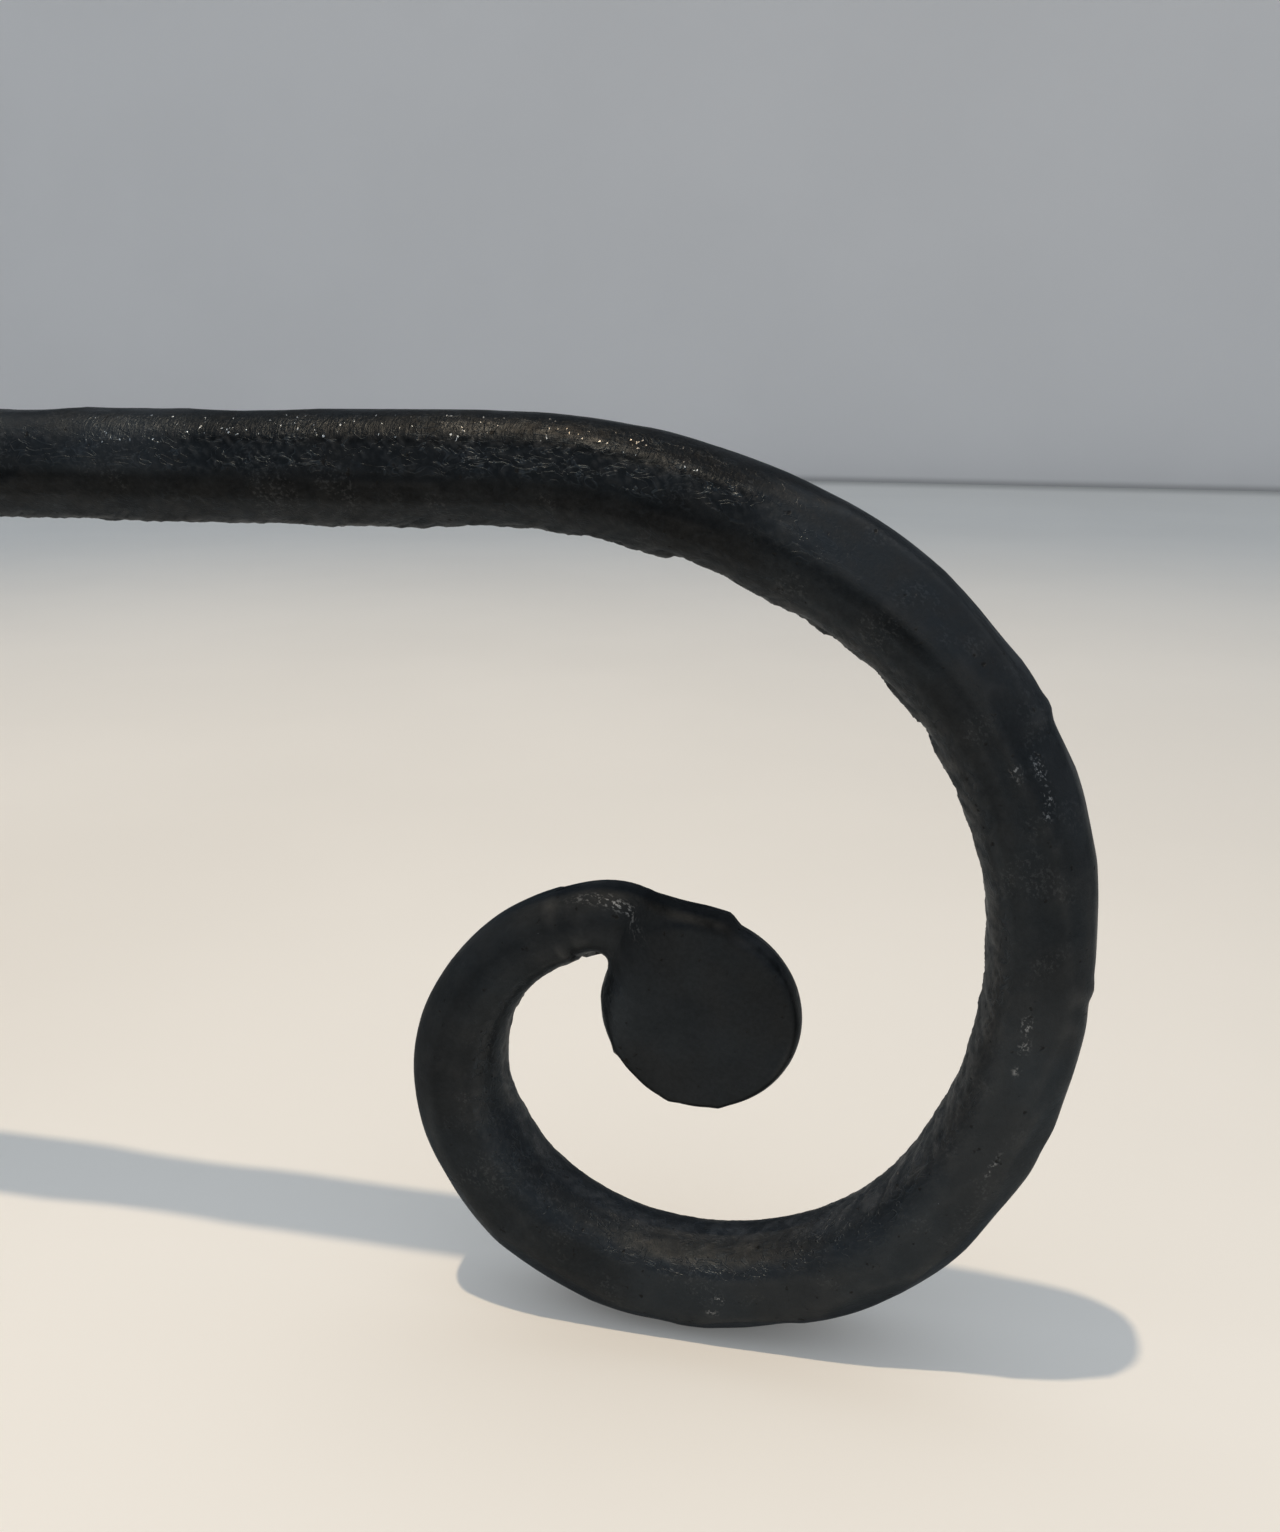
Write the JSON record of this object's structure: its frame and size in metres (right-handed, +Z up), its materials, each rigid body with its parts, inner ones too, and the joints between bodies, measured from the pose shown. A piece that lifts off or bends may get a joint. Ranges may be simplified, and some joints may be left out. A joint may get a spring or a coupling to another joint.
{
  "type": "andiron",
  "caption": "Hand-forged iron andiron: billet bar ending in a scrolled rear foot with a penny end, upright with ball finial, and arched front foot with scrolled ends.",
  "frame": {"origin": "on the floor, below the middle of the andiron's overall length and width", "axes": "+X to the rear, along the billet bar towards the scrolled rear foot; +Y to the left as seen from the front; +Z up"},
  "size_m": [0.437, 0.2392, 0.4026],
  "materials": {
    "waxed_scale": "hand-forged black iron with wrinkled forge scale, oiled or waxed to a soft sheen",
    "worn_scale": "the same black iron, rubbed a little brighter on its edges"
  },
  "bodies": {
    "root": {"billet_bar": "waxed_scale", "upright": "waxed_scale", "front_foot": "waxed_scale", "base_collar": "worn_scale", "foot_washer": "worn_scale", "billet_collar": "worn_scale", "billet_washer": "worn_scale", "finial_collar": "worn_scale", "finial_ball": "waxed_scale", "finial_pin": "worn_scale", "log_stop": "waxed_scale", "stop_washer": "worn_scale"}
  },
  "joints": []
}
